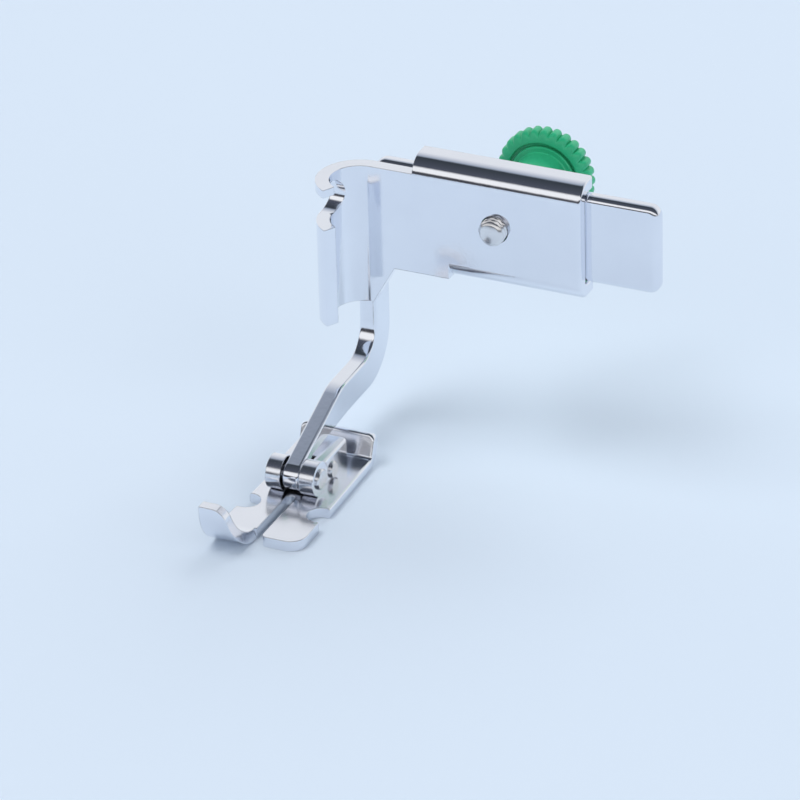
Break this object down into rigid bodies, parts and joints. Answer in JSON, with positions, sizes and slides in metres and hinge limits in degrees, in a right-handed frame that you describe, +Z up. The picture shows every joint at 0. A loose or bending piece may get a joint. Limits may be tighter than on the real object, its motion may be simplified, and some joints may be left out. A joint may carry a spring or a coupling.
{
  "type": "adjustable zipper presser foot",
  "caption": "Presser foot with a folded steel holder that clamps on a presser bar, a sliding bar with a leg, a knob that locks the bar, and a tilting sole with toes and needle notches.",
  "frame": {"origin": "on the presser bar's axis, at the height of the clamp screw slot's centre", "axes": "+X to the operator's right along the slide bar, +Y to the back, +Z up along the presser bar"},
  "size_m": [0.038, 0.0456, 0.0332],
  "materials": {
    "plated_steel": "polished nickel plate",
    "screw_steel": "bright turned steel",
    "knob_plastic": "glossy moulded plastic"
  },
  "bodies": {
    "root": {"holder": "plated_steel"},
    "lock": {"lock_screw": "screw_steel", "lock_knob": "knob_plastic"},
    "carrier": {"slide_bar": "plated_steel"},
    "foot": {"sole_plate": "plated_steel", "hinge_block": "plated_steel", "hinge_pin": "screw_steel", "block_pin": "screw_steel"}
  },
  "joints": [
    {"name": "slide_adjust", "type": "slide", "parent": "root", "child": "carrier", "axis": [1, 0, 0], "range_m": [0, 0.0078]},
    {"name": "knob_turn", "type": "hinge", "parent": "root", "child": "lock", "pos_m": [0.0141, 0.0066, -0.002], "axis": [0, 1, 0], "range_deg": [-360, 0]},
    {"name": "foot_pivot", "type": "hinge", "parent": "carrier", "child": "foot", "pos_m": [-0.0016, -0.0139, -0.0257], "axis": [1, 0, 0], "range_deg": [-12, 3]}
  ]
}
